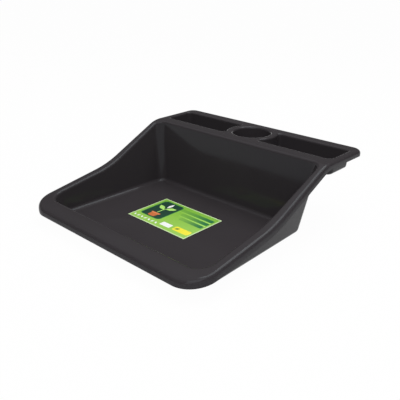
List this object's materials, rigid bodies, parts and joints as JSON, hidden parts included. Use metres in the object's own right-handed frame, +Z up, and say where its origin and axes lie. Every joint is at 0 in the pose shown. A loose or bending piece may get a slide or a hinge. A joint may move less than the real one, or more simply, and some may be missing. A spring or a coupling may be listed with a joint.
{
  "type": "potting soil tray",
  "caption": "Open-fronted potting tray moulded in black plastic, with a deep soil bin, sloping sides and a raised rear shelf with tool wells and a pot cup.",
  "frame": {"origin": "middle of the bounding box's underside, on the plane that the bin's flat base rests on", "axes": "+X to the right seen from the open front, +Y to the raised shelf at the back, +Z up"},
  "size_m": [0.4996, 0.507, 0.149],
  "materials": {
    "black_plastic": "satin",
    "printed_label": "coated paper"
  },
  "bodies": {
    "root": {"tray_shell": "black_plastic", "label": "printed_label"}
  },
  "joints": []
}
